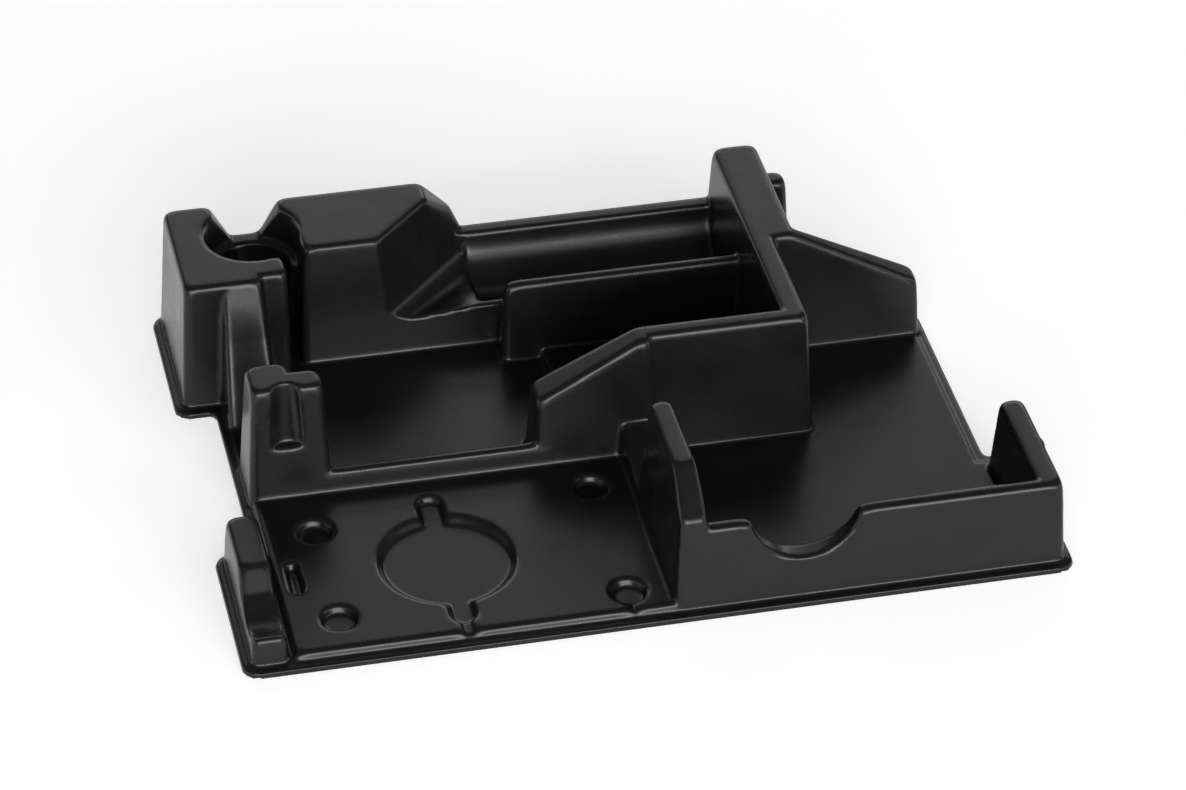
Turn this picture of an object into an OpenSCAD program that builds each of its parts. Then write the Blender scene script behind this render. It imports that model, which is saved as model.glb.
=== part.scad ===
// Tool case insert: one vacuum-formed sheet, open underneath, in millimetres.
// The form is laid out from its front left corner: X to the right, Y to the back, Z up from
// the table. The finished sheet stands with the middle of its footprint at the origin.
// Every form is given by its footprint where its drafted faces would meet the table.

/* [Overall] */
// Width of the insert along its front edge
insert_w = 376; // [370:1:388]
// Depth of the insert along its left edge
insert_d = 270; // [267:1:280]
// Height of the tall walls and the rear block
tall_h = 66; // [63:1:70]
// Thickness of the formed sheet
skin = 1.8; // [1.5:0.1:2.1]
// Draft of the faces that look to the front or back, degrees
draft_y = 5; // [4:0.5:5.5]
// Draft of the faces that look to the sides, degrees
draft_x = 3; // [2:0.5:4]
// Draft of the outer back face, degrees
draft_back = 2; // [1.5:0.5:3]
// Radius of the folds along top edges
fold_r = 2.6; // [2.4:0.1:2.8]
// Radius of the upright corners
corner_r = 4; // [3.5:0.5:4.5]
// Width of the softened top edges of sunk forms
edge_r = 1.2; // [0.8:0.1:1.4]

/* [Rim] */
// Height of the rim turned down to the table
rim_h = 2.8; // [2.4:0.1:3.4]
// Width of the flat rim at the front and sides
rim_w = 4.2; // [3.5:0.1:5]
// Width of the flat rim along the back
rim_back_w = 1.8; // [1.4:0.1:3]
// Outer corner radius of the rim
rim_r = 8; // [6:1:10]
// Radius in the rim's inside corners
rim_inner_r = 3; // [2:1:5]
// Depth of the hand notch in the left edge
notch_w = 18; // [14:1:20]
// Front end of the left notch
notch_front = 85.5; // [82:0.5:88]
// Back end of the left notch
notch_back = 189.5; // [185:0.5:192]
// Set-back of the right edge behind the front wall
step_w = 18.2; // [15:0.2:20]
// Extra rim width along that set-back
step_ledge = 0.8; // [0:0.2:2]
// Width of the cut-away rear right corner
cut_w = 63; // [58:1:66]
// Depth of the cut-away rear right corner
cut_d = 66.5; // [63:0.5:68]

/* [Floors] */
// Height of the tool bay and right bay floors
floor_h = 4; // [3.6:0.1:4.6]
// Height of the raised floor of the rear compartment
shelf_h = 8.7; // [7:0.1:10]
// Left edge of the raised floor
shelf_x = 174; // [168:1:182]

/* [Parts tray] */
// Height of the parts tray
tray_h = 7; // [6.6:0.1:8.5]
// Left edge of the tray
tray_x = 23; // [22:0.5:24]
// Centre of the round dish, from the left
dish_x = 100.8; // [96:0.2:106]
// Centre line of the dish and the dimples, from the front
dish_y = 57; // [54:0.5:60]
// Radius of the dish at the tray surface
dish_r = 31.6; // [29:0.2:33]
// Radius of the dish floor
dish_floor_r = 28.2; // [25:0.2:29]
// Depth of the dish and the small recesses
recess_depth = 4; // [3:0.1:4.4]
// Width of the finger slots at the tray surface
finger_w = 14; // [12:0.2:16]
// Width of the finger slots at their floor
finger_floor_w = 9; // [7:0.2:11]
// Far end of the back finger slot, from the front
finger_back = 104; // [98:1:107]
// Near end of the front finger slot, from the front
finger_front = 12; // [10:0.5:16]
// Width of the outlet slit in front of the finger slot
slit_w = 5.4; // [4:0.2:7]
// Depth of the outlet slits
slit_depth = 2; // [1.5:0.1:2.4]
// Radius of the dimples at the tray surface
dimple_r = 9.1; // [8.4:0.1:9.8]
// Radius of the dimple floors
dimple_floor_r = 7; // [5.5:0.1:7.2]
// Left pair of dimples, from the left
dimple_left_x = 46.8; // [44:0.2:50]
// Distance between the left pair
dimple_left_span = 62; // [56:1:66]
// Right pair of dimples, from the left
dimple_right_x = 174.6; // [168:0.2:178]
// Distance between the right pair
dimple_right_span = 76; // [70:1:78]
// Width of the outlet slit of the front right dimple
drip_w = 3; // [2:0.2:4]
// Left edge of the key slot
key_x = 28.4; // [27:0.2:30]
// Width of the key slot
key_w = 8; // [7:0.2:10]
// Length of the key slot
key_len = 23; // [20:0.5:26]

/* [Front left block] */
// Width of the stepped block at the front left corner
block_w = 17.4; // [16:0.2:18]
// Height of its back part
block_h = 27.5; // [24:0.5:31]
// Front end of the back part's flat top
block_flat_y = 43; // [38:1:50]
// Height of its front part
block_front_h = 17; // [15:0.5:19]
// Back end of the front part's top
block_step_y = 34; // [28:1:36]
// Radius of the scallop across the front part
scallop_r = 20.6; // [18:0.2:23]
// Depth of the scallop
scallop_depth = 4.4; // [3:0.2:5.5]
// Centre of the scallop, from the front
scallop_y = 20; // [17:0.5:22]

/* [Divider] */
// Front face of the divider between tray and tool bay
divider_y = 113.4; // [110:0.2:116]
// Height of the low part of the divider
low_h = 18; // [16:0.5:21]
// Footprint thickness of the low part
low_t = 8; // [7.8:0.1:10]
// Height of the post at the divider's left end
post_h = 64; // [58:1:66]
// Left side of the post
post_x = 21.6; // [21:0.2:23]
// Footprint width of the post
post_w = 39.4; // [37:0.2:43]
// Footprint depth of the post
post_d = 25.5; // [22:0.5:28]
// Width of the post's deeper left half
post_deep_w = 26; // [24:0.5:30]
// Extra depth of that half
post_extra_d = 7.4; // [5:0.2:10]
// Centre of the groove down the post
groove_x = 40.4; // [39:0.2:42]
// Width of the groove at the top
groove_top_w = 12.4; // [10:0.2:14]
// Width of the groove at its foot
groove_foot_w = 17.2; // [15:0.2:19]
// Height of the groove's foot
groove_h = 33; // [28:1:40]
// Depth of the groove into the post's face
groove_depth = 5; // [4:0.2:6]

/* [L-shaped wall] */
// Left end of the ramp that climbs to the tall wall
ramp_x = 152.4; // [149:0.2:156]
// Height where the ramp starts
ramp_h = 41.4; // [36:0.2:46]
// Where the ramp reaches the full height
ramp_top_x = 200.5; // [190:0.5:203]
// Where the front leg steps back, from the left
leg_x = 211.2; // [206:0.2:216]
// How far that part is set back
leg_back = 4.1; // [3:0.1:5.5]
// Back face of the front leg
leg_rear_y = 138.6; // [136:0.2:142]
// Left side of the side leg
side_x = 267.5; // [262:0.5:272]
// Footprint thickness of the side leg
side_t = 18; // [16:0.5:20]
// Footprint thickness of its wider rear part
side_rear_t = 28.5; // [26:0.5:31]

/* [Right back wall] */
// Front face of the wall behind the right bay
back_wall_y = 181.6; // [178:0.2:185]
// Where its top starts to slope down
back_wall_top_x = 292.5; // [288:0.5:298]
// Height of its right end
back_wall_end_h = 33.4; // [28:0.2:40]
// How far its right end stands past the edge of the floor
back_wall_over = 1.3; // [0.4:0.1:2]
// Height of the small wall at the rear corner
stub_h = 48; // [44:1:52]
// Footprint thickness of the small wall
stub_t = 17; // [15:0.5:20]

/* [Right bay] */
// Height of the front and right walls
wall_h = 44; // [40:1:48]
// Footprint thickness of the front wall
wall_t = 14.8; // [13.5:0.1:16]
// Footprint thickness of the right wall
right_t = 16.1; // [15:0.1:18]
// Back end of the right wall
right_y = 77.9; // [74:0.5:80]
// Left side of the wall between tray and bay
left_wall_x = 192.2; // [188:0.2:193]
// Footprint thickness of that wall
left_wall_t = 18; // [17:0.2:20]
// Height where its front slope starts
left_wall_h = 49.8; // [46:0.2:56]
// Where its slope reaches the top, from the front
left_slope_y = 27.8; // [24:0.2:34]
// Back end of the wall
left_wall_y = 82.3; // [78:0.2:86]
// Left side of the sloping saddle behind it
saddle_x = 192.2; // [190:0.2:194]
// Height of the saddle at the tall wall
saddle_h = 24; // [20:0.5:28]
// Height of its front end
saddle_front_h = 12; // [10:0.5:16]
// Radius of the half-round scoop in the front wall
scoop_r = 25; // [22:0.5:27]
// Centre of the scoop, from the left
scoop_x = 251.7; // [248:0.5:262]
// Height of the scoop's centre
scoop_h = 48; // [45:0.5:51]
// Position of the locating nub on the right wall, from the front
nub_y = 41; // [34:0.5:46]
// Radius of the nub
nub_r = 3; // [2.4:0.1:3.6]

/* [Rear left block] */
// Front face of the block's left part
rear_y = 194.2; // [192.4:0.2:196]
// Right side of the front panel and its buttress
panel_x = 47.2; // [44:0.2:50]
// Left side of the buttress
buttress_x = 22.2; // [21:0.2:24]
// Front foot of the buttress
buttress_y = 170; // [166:0.5:176]
// Slope of the buttress face at the top, sideways per height
buttress_slope = 0.26; // [0.2:0.01:0.36]
// Set-back of the face right of the buttress
face_back = 4.4; // [3:0.2:6]
// Right end of the nose between well and bay
nose_x = 60.4; // [58:0.2:62]
// Left side of the block's right part
body_x = 63.2; // [62:0.2:65]
// Front face of the block's right part
body_y = 215.4; // [213:0.2:218]
// Top corner where the slanted face starts
slant_x = 101.6; // [96:0.2:106]
// Right end of the block's flat top
body_top_x = 130.6; // [127:0.2:134]
// Height where the end slope meets the upright end
end_slope_h = 52; // [49:0.5:54]
// Right end of the end slope
end_slope_x = 144.2; // [141:0.2:146]
// Right end of the block at the cradle
end_x = 150; // [148:0.5:153]
// Draft of the slanted face, degrees
slant_draft = 7.4; // [6:0.2:9]

/* [Round well] */
// Centre of the well, from the left
well_x = 45.5; // [44.5:0.1:46.5]
// Centre of the well, from the front
well_y = 240; // [239:0.2:241]
// Radius of the well at the top
well_r = 23.5; // [22:0.1:24]
// Height of the ledge inside the well
ledge_h = 47.5; // [42:0.5:52]
// Width of the ledge
ledge_w = 4; // [3:0.2:5.5]
// Bottom width of the notch at the back of the well
gap_w = 13; // [10:0.5:16]
// Top width of that notch
gap_top_w = 33; // [28:0.5:36]
// Width of the opening from the well to the tool bay
mouth_w = 8; // [6.5:0.1:9]

/* [Cradle] */
// Height of the rim behind the cradle
cradle_h = 38; // [35:0.5:41]
// Radius of the half-round cradle
cradle_r = 20.7; // [18.5:0.1:21.5]
// Centre line of the cradle, from the front
cradle_y = 237; // [236:0.2:238.5]
// Height of the lip in front of the cradle at its right end
lip_h = 24.6; // [23:0.2:27]
// Height of the lowest point of the lip
lip_low_h = 22; // [20:0.2:22.8]
// Left end of the trough
trough_x = 149.6; // [149:0.2:152]
// Radius of the hollow under the slanted face at the trough
bend_r = 15; // [12:0.5:18]
// Radius of that hollow at the lip
bend_lip_r = 9; // [7:0.5:12]
// Front face of the rib right of the lip
rib_y = 198.6; // [194:0.2:202]
// Footprint thickness of the rib
rib_t = 14.2; // [13:0.2:15.4]
// Left end of the rib
rib_x = 155.4; // [153:0.2:160]
// Height of the rib
rib_h = 44.5; // [41:0.5:48]

/* [Hidden] */
eps = 0.01;
join = 0.05;
least_r = 0.2;
overlap = 4;
corner_steps = 16;
round_steps = 64;
tan_x = tan(draft_x);
tan_y = tan(draft_y);
tan_back = tan(draft_back);
tan_slant = tan(slant_draft) * sqrt(2);
body_left = rim_w;
body_front = rim_w;
body_right = insert_w - rim_w;
body_back = insert_d - rim_back_w;
notch_face = notch_w + rim_w;
step_face = insert_w - step_w - rim_w - step_ledge;
corner_x = insert_w - cut_w;
corner_y = insert_d - cut_d;
leg_y = divider_y + leg_back;
side_end = side_x + side_t;
rear_end = side_x + side_rear_t;
wall_back = body_front + wall_t;
dish_floor = tray_h - recess_depth;
cradle_x = end_x + 2;
buttress_slices = 5;
buttress_curve = (rear_y + tall_h * tan_y - buttress_y - buttress_slope * tall_h) / pow(tall_h, 2);

insert();

// The finished sheet: the outer form less the same form shrunk by the sheet's thickness
module insert()
    color("DimGray")
    translate([-insert_w / 2, -insert_d / 2, 0])
    difference() {
        form(0);
        form(skin);
    }

// The whole form, with raised shapes shrunk and sunk shapes grown by inset t
module form(t) {
    difference() {
        union() {
            rim(t);
            floors(t);
            front_left_block(t);
            divider(t);
            l_wall(t);
            right_back_wall(t);
            right_bay_walls(t);
            rear_left_block(t);
            cradle(t);
        }
        tray_recesses(t);
    }
}

// Lean per height of a face whose foot is at y, less steep on the outer back face
function lean_back(y) = y > body_back - eps ? tan_back : tan_y;

// Radius that is left of fold f after inset t
function inner_r(f, t) = max(f - t, least_r);

// Height and width of a softened edge after inset t
function soft(t) = edge_r + t * tan(22.5);

// Steps around a circle, with half as many on the hidden inner side
function steps(n, t) = t > 0 ? n / 2 : n;

// Foot of an upright corner
module foot_corner(x, y, t)
    translate([x, y, -t])
    cylinder(r = corner_r - t, h = eps, $fn = steps(corner_steps, t));

// Top corner at height z, rounded with radius f before inset t
module top_corner(x, y, z, f, t) {
    r = inner_r(f, t);
    for (a = [0, 45, 85])
        translate([x, y, z - t - r + r * sin(a) - eps])
        cylinder(r = r * cos(a), h = eps, $fn = steps(corner_steps, t));
}

// Raised shape over a footprint [x0, x1, y0, y1], with levels [z, x0, x1, y0, y1] whose
// sides are given at the table, so that each level leans in by the draft
module raised_levels(foot, levels, t, f = fold_r)
    hull() {
        for (x = [foot[0] + corner_r, foot[1] - corner_r], y = [foot[2] + corner_r, foot[3] - corner_r])
            foot_corner(x, y, t);
        for (l = levels) {
            in = t + inner_r(f, t);
            for (x = [l[1] + l[0] * tan_x + in, l[2] - l[0] * tan_x - in],
                 y = [l[3] + l[0] * tan_y + in, l[4] - l[0] * lean_back(l[4]) - in])
                top_corner(x, y, l[0], f, t);
        }
    }

// Raised shape with a level top
module raised(x0, x1, y0, y1, h, t)
    raised_levels([x0, x1, y0, y1], [[h, x0, x1, y0, y1]], t, min(fold_r, h / 3));

// Sunk round or oblong recess between y0 and y1, radius r_top at height z, softened at the top
module sunk(x, y0, y1, r_top, r_floor, z, floor_z, t, n) {
    r_wall = r_top - edge_r + t;
    hull()
    for (y = [y0, y1])
        translate([x, y, floor_z - t])
        cylinder(r1 = r_floor + t, r2 = r_wall, h = z - soft(t) - floor_z + t, $fn = steps(n, t));
    hull()
    for (y = [y0, y1])
        translate([x, y, z - soft(t) - eps])
        cylinder(r1 = r_wall, r2 = r_wall + soft(t) + eps, h = soft(t) + 2 * eps, $fn = steps(n, t));
}

// Outline of the rim with its side notches and the cut-away rear corner
module rim_outline()
    offset(r = -rim_inner_r, $fn = corner_steps)
    offset(delta = rim_inner_r)
    union() {
        rounded_area(0, insert_w, 0, notch_front);
        rounded_area(notch_w, insert_w - step_w, 0, corner_y);
        rounded_area(0, corner_x, notch_back, insert_d);
        translate([notch_w, notch_front])
        square([corner_x - notch_w - rim_r, insert_d - notch_front - rim_r]);
    }

// Rectangle with rounded corners
module rounded_area(x0, x1, y0, y1)
    hull()
    for (x = [x0 + rim_r, x1 - rim_r], y = [y0 + rim_r, y1 - rim_r])
        translate([x, y])
        circle(r = rim_r, $fn = 2 * corner_steps);

// Rim turned down to the table
module rim(t)
    translate([0, 0, -t])
    linear_extrude(rim_h)
    offset(delta = -t)
    rim_outline();

// Floors of the bays, the tray and the rear compartment
module floors(t) {
    raised(body_left, body_right, body_front, notch_front - rim_w, floor_h, t);
    raised(notch_face, step_face, body_front, corner_y - rim_back_w, floor_h, t);
    raised(body_left, corner_x - rim_w, notch_back + rim_w, body_back, floor_h, t);
    raised(tray_x, left_wall_x + left_wall_t, body_front, divider_y + 2 * corner_r, tray_h, t);
    raised(shelf_x, side_end, leg_rear_y - 2 * corner_r, rib_y + rib_t, shelf_h, t);
}

// Dish, finger slots, dimples and key slot in the parts tray
module tray_recesses(t) {
    sunk(dish_x, dish_y, dish_y, dish_r, dish_floor_r, tray_h, dish_floor, t, round_steps);
    sunk(dish_x, finger_front + finger_w / 2, finger_back - finger_w / 2, finger_w / 2,
         finger_floor_w / 2, tray_h, dish_floor, t, corner_steps);
    for (side = [-1, 1]) {
        dimple(dimple_left_x, dish_y + side * dimple_left_span / 2, t);
        dimple(dimple_right_x, dish_y + side * dimple_right_span / 2, t);
    }
    sunk(key_x + key_w / 2, dish_y - (key_len - key_w) / 2, dish_y + (key_len - key_w) / 2, key_w / 2,
         (key_w - edge_r - recess_depth / 2) / 2, tray_h, dish_floor, t, corner_steps);
    outlet(dish_x, slit_w, finger_front + finger_w / 2, t);
    outlet(dimple_right_x, drip_w, dish_y - dimple_right_span / 2, t);
}

// Round dimple in the parts tray
module dimple(x, y, t)
    sunk(x, y, y, dimple_r, dimple_floor_r, tray_h, dish_floor, t, 2 * corner_steps);

// Shallow slit from the front edge of the tray back to y
module outlet(x, w, y, t)
    translate([x - w / 2 - t, -eps, tray_h - slit_depth - t])
    cube([w + 2 * t, y, slit_depth + t + eps]);

// Stepped block at the front left corner with a scallop across its front part
module front_left_block(t) {
    x1 = body_left + block_w;
    hull() {
        raised(body_left, x1, block_flat_y - block_h * tan_y, notch_front - rim_w / 2, block_h, t);
        raised(body_left, x1, block_step_y - block_front_h * tan_y, notch_front - rim_w / 2,
               block_front_h, t);
    }
    difference() {
        raised(body_left, x1, body_front, block_step_y + 2 * corner_r, block_front_h, t);
        translate([0, scallop_y, block_front_h - scallop_depth + scallop_r])
        rotate([0, 90, 0])
        cylinder(r = scallop_r + t, h = 2 * notch_face, $fn = steps(round_steps, t));
    }
}

// Divider between tray and tool bay: the grooved post and the low wall
module divider(t) {
    raised(post_x + post_w - 2 * corner_r, ramp_x + 3 * corner_r, divider_y, divider_y + low_t, low_h, t);
    difference() {
        union() {
            raised(post_x, post_x + post_w, divider_y, divider_y + post_d, post_h, t);
            raised(post_x, post_x + post_deep_w, divider_y, divider_y + post_d + post_extra_d, post_h, t);
        }
        post_groove(t);
    }
}

// Half-round groove down the front of the post
module post_groove(t)
    hull()
    for (end = [[groove_h - t, groove_foot_w / 2], [post_h + eps, groove_top_w / 2]])
        translate([groove_x, divider_y + end[0] * tan_y + groove_depth - end[1], end[0]])
        cylinder(r = end[1] + t, h = eps, $fn = steps(2 * corner_steps, t));

// L-shaped wall with the ramp at its left end
module l_wall(t) {
    level_x = ramp_top_x - tall_h * tan_x;
    ramp_rear_y = leg_rear_y - join;
    raised_levels([ramp_x, leg_x, divider_y, ramp_rear_y],
                  [[ramp_h, ramp_x, leg_x, divider_y, ramp_rear_y],
                   [tall_h, level_x, leg_x, divider_y, ramp_rear_y]], t);
    raised(level_x, side_end - corner_r, leg_y, leg_rear_y, tall_h, t);
    raised(side_x, side_end, leg_y + join, body_back, tall_h, t);
    raised(side_x + corner_r, rear_end, back_wall_y + join, body_back, tall_h, t);
}

// Wall behind the right bay, sloping down to the right, and the small rear wall
module right_back_wall(t) {
    x0 = side_x + corner_r;
    x1 = step_face + back_wall_over;
    y1 = corner_y - rim_back_w;
    raised_levels([x0, x1, back_wall_y, y1],
                  [[back_wall_end_h, x0, x1, back_wall_y, y1],
                   [tall_h, x0, back_wall_top_x + tall_h * tan_x, back_wall_y, y1]], t);
    raised(x0, corner_x - rim_w, body_back - stub_t, body_back, stub_h, t);
}

// Walls around the right bay
module right_bay_walls(t) {
    difference() {
        raised(left_wall_x, body_right, body_front, wall_back, wall_h, t);
        scoop(t);
    }
    raised(body_right - right_t, body_right, body_front, right_y, wall_h, t);
    nub(t);
    left_wall(t);
    saddle(t);
}

// Saddle that slopes down from the tall wall to the back of the left wall
module saddle(t) {
    x1 = saddle_x + left_wall_t;
    y0 = left_wall_y - 2 * corner_r;
    y1 = leg_y + 2 * corner_r;
    raised_levels([saddle_x, x1, y0, y1],
                  [[saddle_front_h, saddle_x, x1, y0, y1],
                   [saddle_h, saddle_x, x1, divider_y - fold_r, y1]], t);
}

// Half-round scoop through the front wall, softened on both faces
module scoop(t) {
    translate([scoop_x, -eps, scoop_h])
    rotate([-90, 0, 0])
    cylinder(r = scoop_r + t, h = 2 * wall_back, $fn = steps(round_steps, t));
    for (face = [[body_front + scoop_h * tan_y, 90 - draft_y], [wall_back - scoop_h * tan_y, draft_y - 90]])
        translate([scoop_x, face[0], scoop_h])
        rotate([face[1], 0, 0])
        translate([0, 0, -soft(t)])
        cylinder(r1 = scoop_r + t, r2 = scoop_r + t + soft(t) + overlap, h = soft(t) + overlap,
                 $fn = steps(round_steps, t));
}

// Locating nub high on the outer face of the right wall
module nub(t)
    translate([body_right - wall_h * tan_x - 2 * nub_r / 3, nub_y, -t])
    cylinder(r = nub_r - t, h = wall_h - least_r, $fn = steps(corner_steps, t));

// Wall between tray and bay with its sloping front end
module left_wall(t) {
    x1 = left_wall_x + left_wall_t;
    raised_levels([left_wall_x, x1, body_front, left_wall_y],
                  [[left_wall_h, left_wall_x, x1, body_front, left_wall_y],
                   [tall_h, left_wall_x, x1, left_slope_y - tall_h * tan_y, left_wall_y]], t);
}

// Rear left block with its buttress, round well and open notch
module rear_left_block(t)
    difference() {
        union() {
            raised(body_left, panel_x, rear_y, body_back, tall_h, t);
            raised(body_left, nose_x, rear_y + face_back, body_back, tall_h, t);
            buttress(t);
            raised(well_x, body_x + 5 * corner_r, well_y - well_r / 2, body_back, tall_h, t);
            right_part(t);
        }
        well(t);
    }

// Front face of the buttress at height z, steeper towards the top
function buttress_front(z) = rear_y + tall_h * tan_y - (tall_h - z) * buttress_slope
    - pow(tall_h - z, 2) * buttress_curve;

// Buttress with a hollow sloping face, built up in slices
module buttress(t)
    for (i = [1:buttress_slices])
        hull() {
            buttress_corners(tall_h * (i - 1) / buttress_slices, t, false);
            buttress_corners(tall_h * i / buttress_slices, t, i == buttress_slices);
        }

// The corners of the buttress at height z
module buttress_corners(z, t, top)
    for (x = [buttress_x + z * tan_x + fold_r, panel_x - z * tan_x - fold_r],
         y = [buttress_front(z) + t + inner_r(fold_r, t), rear_y + tall_h * tan_y + 2 * corner_r])
        if (top)
            top_corner(x, y, z, fold_r, t);
        else
            translate([x, y, z - t])
            cylinder(r = inner_r(fold_r, t), h = eps, $fn = steps(corner_steps, t));

// Corner points at height z of the block's right part, set in from its faces
function part_points(z, right, in) =
    let (c = slant_x - body_y - tall_h * tan_y + (tall_h - z) * tan_slant - in * sqrt(2),
         x0 = body_x + z * tan_x + in, x1 = right - in,
         y0 = body_y + z * tan_y + in, y1 = body_back - z * tan_back - in)
    [[x0, y0], [y0 + c, y0], [x1, min(x1 - c, y1)], [x1, y1], [x0, y1]];

// Right part of the rear block: slanted face and sloped end above the cradle
module right_part(t)
    hull() {
        for (p = part_points(0, cradle_x, corner_r))
            foot_corner(p[0], p[1], t);
        for (l = [[cradle_h, end_x], [end_slope_h, end_slope_x], [tall_h, body_top_x]])
            for (p = part_points(l[0], l[1], t + inner_r(fold_r, t)))
                top_corner(p[0], p[1], l[0], fold_r, t);
    }

// Round well: wide upper part, ledge, narrower lower part, back notch and mouth to the bay
module well(t) {
    low_r = well_r - edge_r - (tall_h - ledge_h) * tan_x - ledge_w;
    sunk(well_x, well_y, well_y, well_r, low_r + ledge_w, tall_h, ledge_h, t, round_steps);
    sunk(well_x, well_y, well_y, low_r + edge_r, low_r - ledge_h * tan_x, ledge_h, floor_h, t, round_steps);
    hull()
    for (y = [well_y, insert_d]) {
        translate([well_x - gap_w / 2 - t, y, ledge_h - t])
        cube([gap_w + 2 * t, eps, eps]);
        translate([well_x - gap_top_w / 2 - t, y, tall_h])
        cube([gap_top_w + 2 * t, eps, 2 * t + eps]);
    }
    hull()
    for (y = [rear_y - overlap, well_y - 2 * overlap])
        translate([nose_x, y, floor_h - t])
        cylinder(r1 = mouth_w / 2 + t - tan_x * floor_h, r2 = mouth_w / 2 + t, h = tall_h, $fn = steps(corner_steps, t));
}

// Cradle body with its half-round trough and lip, and the rib in front of it
module cradle(t) {
    difference() {
        raised(slant_x - 2 * corner_r, side_end, body_y, body_back, cradle_h, t);
        trough(t);
        lip_hollow(t);
    }
    raised(rib_x, side_end, rib_y, rib_y + rib_t, rib_h, t);
}

// Half-round trough right of the block, softened at its back edge and open above the lip
module trough(t) {
    translate([trough_x - t, cradle_y, cradle_h])
    rotate([0, 90, 0])
    cylinder(r = cradle_r + t, h = side_end, $fn = steps(round_steps, t));
    hull()
    for (w = [0, soft(t)])
        translate([trough_x - t, cradle_y, cradle_h - soft(t) + w])
        cube([side_end, cradle_r + t + w - least_r, eps]);
    translate([trough_x - t, 0, lip_h - t])
    cube([side_end, cradle_y, tall_h]);
}

// Hollow that follows the slanted face out over the lip, widening towards the trough
module lip_hollow(t)
    intersection() {
        cube([trough_x + t, cradle_y + cradle_r + t, 2 * tall_h]);
        translate([slant_x - body_y - tall_h * tan_y + (tall_h - cradle_h) * tan_slant, 0, 0])
        rotate([0, 0, 45])
        hull()
        for (end = [[body_y - overlap, bend_lip_r], [body_back, bend_r]],
             side = [[end[1], 0], [3 * bend_r, 2 * (lip_h - lip_low_h)]], lift = [0, tall_h])
            translate([end[0] * sqrt(2), -side[0], lip_low_h + end[1] + side[1] + lift])
            rotate([0, 90, 0])
            cylinder(r = end[1] + t, h = eps, $fn = steps(round_steps, t));
    }
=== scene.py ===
"""Tool case insert: one vacuum-formed sheet of black ABS in a plain pale studio."""

import math

import bmesh
import bpy
import numpy as np
from mathutils import Matrix, Vector


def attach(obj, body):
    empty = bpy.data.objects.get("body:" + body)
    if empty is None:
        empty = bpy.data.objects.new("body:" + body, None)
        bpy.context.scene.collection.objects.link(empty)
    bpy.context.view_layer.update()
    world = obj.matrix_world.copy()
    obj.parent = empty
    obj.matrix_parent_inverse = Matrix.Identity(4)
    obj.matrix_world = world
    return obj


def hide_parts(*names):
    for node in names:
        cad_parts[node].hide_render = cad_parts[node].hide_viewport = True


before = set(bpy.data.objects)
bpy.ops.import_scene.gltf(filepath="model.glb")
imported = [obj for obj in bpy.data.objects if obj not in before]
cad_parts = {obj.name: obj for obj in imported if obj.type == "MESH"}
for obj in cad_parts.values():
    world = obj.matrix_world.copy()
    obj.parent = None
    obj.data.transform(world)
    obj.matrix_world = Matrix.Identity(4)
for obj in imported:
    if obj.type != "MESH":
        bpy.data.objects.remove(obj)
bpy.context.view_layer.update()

# Camera, where the photograph was taken from, with its sensor's width in millimetres
CAMERA_PLACE = Vector((-0.4183, -1.7602, 1.3834))
CAMERA_RIGHT = Vector((0.97557, -0.21925, 0.01383))
CAMERA_UP = Vector((0.12076, 0.58776, 0.79997))
CAMERA_LENS = 150.32
CAMERA_SENSOR = 36.0
CAMERA_REACH = 100.0

# Corners of the CAD sheet that are one point, in metres like all sizes below
MERGE = 1e-6
# Grid that the sheet is formed on
GRAIN_OF_FORM = 0.0009
# Turns that level the grid's steps, and the share of a step that each takes
SEAM_PASSES = 6
SEAM_SHARE = 0.5
# Turns that wear the folds, and the number of them between two readings of the normals
FOLD_PASSES = 48
NORMALS_EVERY = 6
# Radius that a fold is worn to, and how deep it may sink
FOLD_RADIUS = 0.0048
FOLD_DEPTH = 0.0010
# Height of the rim's foot, which keeps its place
FOOT = 0.0009
MOST_TRIANGLES = 188000

# Colours as sRGB hex
SHEET_BLACK = "0e0e0e"
SHEET_WORN = "161616"
FLOOR_PALE = "d0d0d0"
ROOM_WHITE = "ffffff"

# Skin of the sheet: pores 0.7 mm apart and clouds 18 mm wide, both per metre
PORES = 1400.0
PORE_DEPTH = 0.00003
PORE_STRENGTH = 0.5
CLOUDS = 55.0
SMOOTHEST = 0.25
ROUGHEST = 0.31
SKIN_IOR = 1.38

# Floor: it lies just under the rim, and its glow makes it white to the camera
FLOOR_RADIUS = 30.0
FLOOR_SIDES = 64
FLOOR_DROP = 0.0002
FLOOR_GLOW = 0.58

# Softboxes at one distance: bearing, height, width and tallness in degrees, and brightness
STUDIO_REACH = 6.0
SOFTBOXES = {
    "front_strip": (178, 16, 62, 17, 10.8),
    "front_mid": (178, 33, 62, 14, 2.4),
    "front_left": (223, 24, 28, 16, 1.3),
    "front_right": (118, 24, 54, 14, 1.9),
    "right_low": (103, 8, 30, 14, 1.4),
    "left_low": (268, 8, 58, 16, 1.6),
    "back_panel": (8, 42, 44, 18, 0.75),
    "back_low": (8, 22, 62, 12, 3.0),
}
ROOM_LIGHT = 0.12


def linear(hex_colour):
    """A colour written as sRGB hex, as linear RGBA."""
    parts = [int(hex_colour[i : i + 2], 16) / 255 for i in (0, 2, 4)]
    return [p / 12.92 if p <= 0.04045 else ((p + 0.055) / 1.055) ** 2.4 for p in parts] + [1.0]


def add(tree, kind, sockets=None, **settings):
    """Adds a node with its settings; a socket takes a value or another node's output."""
    made = tree.nodes.new(kind)
    for name, value in settings.items():
        setattr(made, name, value)
    for name, value in (sockets or {}).items():
        if isinstance(value, bpy.types.NodeSocket):
            tree.links.new(value, made.inputs[name])
        else:
            made.inputs[name].default_value = value
    return made


def new_material(name):
    """An empty node material and its tree."""
    material = bpy.data.materials.new(name)
    material.use_nodes = True
    material.node_tree.nodes.clear()
    return material, material.node_tree


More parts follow.
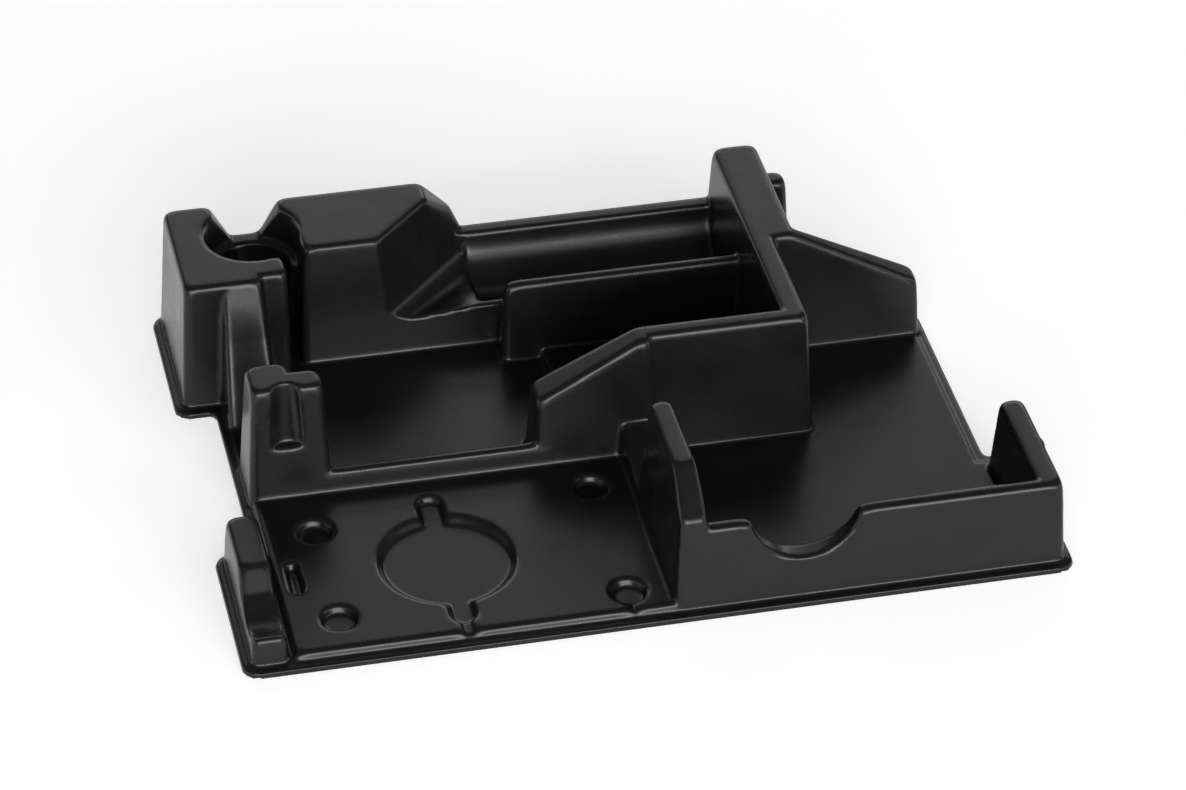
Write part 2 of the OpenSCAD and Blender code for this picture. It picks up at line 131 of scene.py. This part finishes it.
def in_scene(name, data):
    """A new object of the scene that holds a mesh, a lamp or a camera."""
    made = bpy.data.objects.new(name, data)
    bpy.context.scene.collection.objects.link(made)
    return made


# Sheet


def formed_sheet(source):
    """The CAD sheet with its folds drawn round, as a heated sheet takes them over a mould."""
    form = bmesh.new()
    form.from_mesh(source.data)
    form.transform(source.matrix_world)
    bmesh.ops.remove_doubles(form, verts=form.verts, dist=MERGE)
    mesh = bpy.data.meshes.new("formed_sheet")
    form.to_mesh(mesh)
    form.free()
    sheet = in_scene("formed_sheet", mesh)

    even = sheet.modifiers.new("even", "REMESH")
    even.mode = "VOXEL"
    even.voxel_size = GRAIN_OF_FORM
    settle(sheet)

    free = sheet.vertex_groups.new(name="free")
    free.add([v.index for v in sheet.data.vertices if v.co.z > FOOT], 1.0, "REPLACE")
    seam = sheet.modifiers.new("seam", "SMOOTH")
    seam.factor = SEAM_SHARE
    seam.iterations = SEAM_PASSES
    seam.vertex_group = "free"
    settle(sheet)
    draw_folds(sheet.data)
    thin = sheet.modifiers.new("thin", "DECIMATE")
    thin.ratio = MOST_TRIANGLES / (2 * len(sheet.data.polygons))
    settle(sheet)
    sheet.vertex_groups.clear()

    sheet.data.polygons.foreach_set("use_smooth", [True] * len(sheet.data.polygons))
    level = sheet.modifiers.new("level", "WEIGHTED_NORMAL")
    level.keep_sharp = True
    settle(sheet)
    return sheet


def draw_folds(mesh):
    """Wears the raised folds down to their full radius and leaves the hollow seams sharp."""
    count = len(mesh.vertices)
    place = np.empty(count * 3)
    mesh.vertices.foreach_get("co", place)
    place = place.reshape(count, 3)
    ends = np.empty(len(mesh.edges) * 2, np.int32)
    mesh.edges.foreach_get("vertices", ends)
    a, b = ends.reshape(-1, 2).T
    beside = np.bincount(a, minlength=count) + np.bincount(b, minlength=count)
    start = place.copy()
    out = np.empty(count * 3)
    flat_enough = GRAIN_OF_FORM**2 / (4 * FOLD_RADIUS)
    for turn in range(FOLD_PASSES):
        if turn % NORMALS_EVERY == 0:
            mesh.vertices.foreach_set("co", place.ravel())
            mesh.update()
            mesh.vertex_normals.foreach_get("vector", out)
            normal = out.reshape(count, 3)
        around = [
            np.bincount(a, place[b, k], count) + np.bincount(b, place[a, k], count) for k in range(3)
        ]
        pull = np.stack(around, 1) / beside[:, None] - place
        sink = np.minimum((pull * normal).sum(1) + flat_enough, 0.0)
        moved = place + sink[:, None] * normal
        deep = np.linalg.norm(moved - start, axis=1) < FOLD_DEPTH
        place = np.where((deep & (start[:, 2] > FOOT))[:, None], moved, place)
    mesh.vertices.foreach_set("co", place.ravel())
    mesh.update()


def settle(piece):
    """Applies a piece's modifiers to its mesh."""
    bpy.context.view_layer.update()
    graph = bpy.context.evaluated_depsgraph_get()
    mesh = bpy.data.meshes.new_from_object(piece.evaluated_get(graph))
    old = piece.data
    piece.modifiers.clear()
    piece.data = mesh
    bpy.data.meshes.remove(old)


def formed_abs():
    """Black ABS sheet, vacuum formed: satin, with fine pores and clouds of duller skin."""
    material, tree = new_material("formed_abs_sheet")
    place = add(tree, "ShaderNodeTexCoord").outputs["Object"]
    # Pores of the skin, which soften the edge of each reflection
    grain = add(tree, "ShaderNodeTexNoise", {"Vector": place, "Scale": PORES, "Detail": 3.0})
    # Clouds of duller and brighter skin, from where the sheet cooled unevenly
    clouds = add(tree, "ShaderNodeTexNoise", {"Vector": place, "Scale": CLOUDS, "Detail": 4.0})
    rough = add(
        tree,
        "ShaderNodeMapRange",
        {
            "Value": clouds.outputs["Fac"],
            "From Min": 0.3,
            "From Max": 0.7,
            "To Min": SMOOTHEST,
            "To Max": ROUGHEST,
        },
    )
    tint = add(
        tree,
        "ShaderNodeMix",
        {"A": linear(SHEET_BLACK), "B": linear(SHEET_WORN), "Factor": clouds.outputs["Fac"]},
        data_type="RGBA",
    )
    pores = add(
        tree,
        "ShaderNodeBump",
        {"Height": grain.outputs["Fac"], "Distance": PORE_DEPTH, "Strength": PORE_STRENGTH},
    )
    skin = add(
        tree,
        "ShaderNodeBsdfPrincipled",
        {
            "Base Color": tint.outputs["Result"],
            "Roughness": rough.outputs["Result"],
            "IOR": SKIN_IOR,
            "Normal": pores.outputs["Normal"],
        },
    )
    add(tree, "ShaderNodeOutputMaterial", {"Surface": skin.outputs["BSDF"]})
    return material


# Studio


def pale_floor():
    """Matt pale card: white to the camera and in reflections, and it keeps the shadow."""
    material, tree = new_material("pale_floor")
    matt = add(tree, "ShaderNodeBsdfDiffuse", {"Color": linear(FLOOR_PALE)})
    path = add(tree, "ShaderNodeLightPath")
    seen = add(
        tree,
        "ShaderNodeMath",
        {0: path.outputs["Is Camera Ray"], 1: path.outputs["Is Glossy Ray"]},
        operation="ADD",
    )
    seen = add(
        tree,
        "ShaderNodeMath",
        {0: seen.outputs[0], 1: path.outputs["Is Transmission Ray"]},
        operation="ADD",
    )
    lift = add(tree, "ShaderNodeMath", {0: seen.outputs[0], 1: FLOOR_GLOW}, operation="MULTIPLY")
    glow = add(tree, "ShaderNodeEmission", {"Strength": lift.outputs[0]})
    both = add(tree, "ShaderNodeAddShader", {0: matt.outputs[0], 1: glow.outputs[0]})
    add(tree, "ShaderNodeOutputMaterial", {"Surface": both.outputs[0]})
    return material


def studio_floor():
    """A floor that reaches past the camera's view."""
    disc = bmesh.new()
    bmesh.ops.create_circle(disc, cap_ends=True, radius=FLOOR_RADIUS, segments=FLOOR_SIDES)
    mesh = bpy.data.meshes.new("floor")
    disc.to_mesh(mesh)
    disc.free()
    floor = in_scene("floor", mesh)
    floor.location.z = -FLOOR_DROP
    mesh.materials.append(pale_floor())


def softbox(name, bearing, height, across, tall, brightness):
    """A softbox that faces the object, in degrees; bearing 0 is behind it, 90 to its right."""
    lamp = bpy.data.lights.new(name, "AREA")
    lamp.shape = "RECTANGLE"
    lamp.size, lamp.size_y = (2 * STUDIO_REACH * math.tan(math.radians(v / 2)) for v in (across, tall))
    lamp.energy = brightness * math.pi * lamp.size * lamp.size_y
    a, e = math.radians(bearing), math.radians(height)
    aim = Vector((math.sin(a) * math.cos(e), math.cos(a) * math.cos(e), math.sin(e)))
    box = in_scene(name, lamp)
    box.location = aim * STUDIO_REACH
    box.rotation_euler = aim.to_track_quat("Z", "Y").to_euler()
    box.visible_camera = False


def studio():
    """A bright low strip in front, dimmer boxes at the sides and behind, and a dim room."""
    for name, box in SOFTBOXES.items():
        softbox(name, *box)
    world = bpy.data.worlds.new("room")
    bpy.context.scene.world = world
    world.use_nodes = True
    tree = world.node_tree
    tree.nodes.clear()
    room = add(
        tree,
        "ShaderNodeBackground",
        {"Color": linear(ROOM_WHITE), "Strength": ROOM_LIGHT},
    )
    add(tree, "ShaderNodeOutputWorld", {"Surface": room.outputs[0]})


def camera():
    """The photograph's camera, a long lens from high in front and a little left."""
    back = CAMERA_RIGHT.cross(CAMERA_UP)
    turn = Matrix((CAMERA_RIGHT, CAMERA_UP, back)).transposed().to_4x4()
    eye = in_scene("camera", bpy.data.cameras.new("camera"))
    eye.data.lens = CAMERA_LENS
    eye.data.sensor_width = CAMERA_SENSOR
    eye.data.clip_end = CAMERA_REACH
    eye.matrix_world = Matrix.Translation(CAMERA_PLACE) @ turn
    bpy.context.scene.camera = eye


camera()
studio()
studio_floor()

sheet = formed_sheet(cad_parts["insert"])
sheet.data.materials.clear()
sheet.data.materials.append(formed_abs())
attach(sheet, "root")
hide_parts("insert")

bpy.context.scene.view_settings.view_transform = "Standard"
